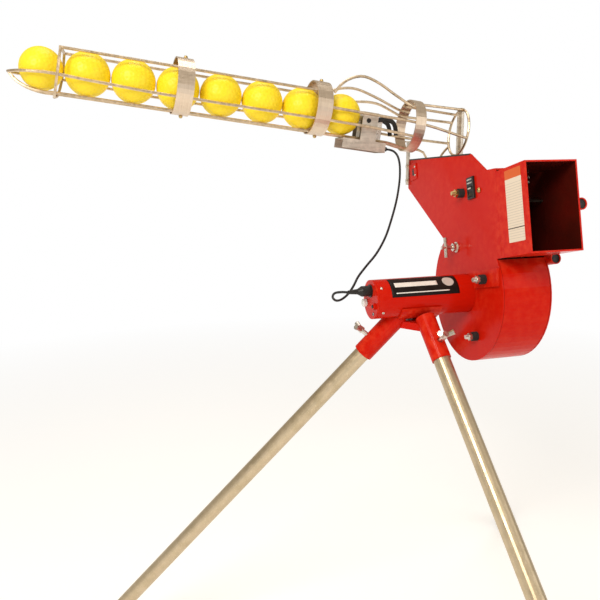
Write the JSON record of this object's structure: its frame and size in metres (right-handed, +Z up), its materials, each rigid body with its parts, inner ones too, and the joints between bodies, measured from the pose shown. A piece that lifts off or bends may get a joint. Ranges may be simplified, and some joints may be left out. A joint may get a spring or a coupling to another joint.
{
  "type": "baseball pitching machine",
  "caption": "Single-wheel ball pitching machine: red steel housing tilting on a three-legged stand, fed by a sloping wire rack with a rotary fork feeder.",
  "frame": {"origin": "on the floor, under the centre of the whole machine's plan outline", "axes": "+X the way balls are thrown, +Z up, the motor and the ball rack lie towards -Y"},
  "size_m": [1.1336, 1.132, 1.1454],
  "materials": {
    "red_paint": "gloss",
    "zinc": "satin",
    "leg_steel": "satin",
    "black_plastic": "matte",
    "white_plastic": "gloss",
    "rubber": "matte",
    "brass": "satin",
    "dark_steel": "satin",
    "ball_yellow": "satin"
  },
  "bodies": {
    "stand": {"tripod_head": "red_paint", "leg_tube_1": "leg_steel", "leg_tube_2": "leg_steel", "leg_tube_3": "leg_steel", "foot_cap_1": "rubber", "foot_cap_2": "rubber", "foot_cap_3": "rubber"},
    "head": {"motor_tube": "red_paint", "motor_end_cap": "red_paint", "motor_stator": "dark_steel", "rear_bearing_plate": "dark_steel", "front_bearing_plate": "dark_steel", "outlet_socket": "black_plastic", "feeder_plug": "black_plastic", "near_side_plate": "red_paint", "far_side_plate": "red_paint", "drum_band": "red_paint", "hopper_rear_sheet": "red_paint", "chute_roof": "red_paint", "ball_guide": "zinc", "chute_duct": "red_paint", "side_bracket": "red_paint", "cushion_bolt_1": "brass", "rubber_bush_1": "rubber", "cushion_bolt_2": "zinc", "rubber_bush_2": "rubber", "cushion_bolt_3": "zinc", "rubber_bush_3": "rubber", "t_handle_nut": "zinc", "switch_bezel": "black_plastic", "rack_cage": "zinc", "elbow_cage": "zinc", "rear_strap": "zinc", "end_strap": "zinc", "feeder_gearbox": "zinc", "feeder_channel": "zinc", "cord_gland": "black_plastic", "feeder_cord": "black_plastic", "ball_2": "ball_yellow", "ball_3": "ball_yellow", "ball_4": "ball_yellow", "ball_5": "ball_yellow", "ball_6": "ball_yellow", "ball_7": "ball_yellow", "ball_8": "ball_yellow"},
    "wheel": {"wheel_rim": "zinc", "wheel_tyre": "rubber", "motor_shaft": "dark_steel", "motor_rotor": "dark_steel"},
    "fork": {"feeder_fork": "rubber"},
    "loading_ball": {"ball_1": "ball_yellow"},
    "t_handle": {"t_handle": "zinc"},
    "rocker": {"rocker_switch": "black_plastic"},
    "speed_knob": {"speed_knob": "white_plastic"},
    "reset_button": {"reset_button": "black_plastic"},
    "saddle_screw": {"saddle_thumbscrew": "zinc"},
    "leg_screw_1": {"leg_thumbscrew_1": "zinc"},
    "leg_screw_2": {"leg_thumbscrew_2": "zinc"},
    "leg_screw_3": {"leg_thumbscrew_3": "zinc"}
  },
  "joints": [
    {"name": "head_tilt", "type": "hinge", "parent": "stand", "child": "head", "pos_m": [-0.11365, 0.0614, 0.74004], "axis": [0, -1, 0], "range_deg": [-12, 20]},
    {"name": "wheel_spin", "type": "hinge", "parent": "head", "child": "wheel", "pos_m": [-0.11365, 0.1979, 0.74004], "axis": [0, 1, 0], "continuous": true},
    {"name": "fork_lift", "type": "hinge", "parent": "head", "child": "fork", "pos_m": [-0.31765, 0.04673, 1.02943], "axis": [1, 0, 0], "range_deg": [0, 95]},
    {"name": "loading_ball_lift", "type": "slide", "parent": "head", "child": "loading_ball", "axis": [0, -0.5996, 0.8003], "range_m": [0, 0.12]},
    {"name": "t_handle_turn", "type": "hinge", "parent": "head", "child": "t_handle", "pos_m": [-0.15057, 0.1354, 0.81283], "axis": [0, -1, 0], "range_deg": [0, 360]},
    {"name": "rocker_tip", "type": "hinge", "parent": "head", "child": "rocker", "pos_m": [-0.10734, 0.1544, 0.90867], "axis": [-0.9724, 0, -0.2334], "range_deg": [0, 8]},
    {"name": "speed_knob_turn", "type": "hinge", "parent": "head", "child": "speed_knob", "pos_m": [-0.13265, -0.0196, 0.73104], "axis": [0, -1, 0], "range_deg": [-270, 0]},
    {"name": "reset_press", "type": "slide", "parent": "head", "child": "reset_button", "axis": [0, 1, 0], "range_m": [0, 0.002], "stiffness_N_per_m": 200},
    {"name": "leg_screw_1_turn", "type": "hinge", "parent": "stand", "child": "leg_screw_1", "pos_m": [-0.03233, 0.07141, 0.68939], "axis": [0.7439, 0.0993, 0.6609], "range_deg": [0, 360]},
    {"name": "leg_screw_2_turn", "type": "hinge", "parent": "stand", "child": "leg_screw_2", "pos_m": [-0.15452, 0.11588, 0.68939], "axis": [-0.5061, 0.5542, 0.6609], "range_deg": [0, 360]},
    {"name": "leg_screw_3_turn", "type": "hinge", "parent": "stand", "child": "leg_screw_3", "pos_m": [-0.13679, -0.01529, 0.67814], "axis": [-0.286, -0.6939, 0.6609], "range_deg": [0, 360]},
    {"name": "saddle_screw_turn", "type": "hinge", "parent": "stand", "child": "saddle_screw", "pos_m": [-0.14864, 0.0617, 0.72064], "axis": [-0.8746, 0, -0.4848], "range_deg": [0, 360]}
  ]
}
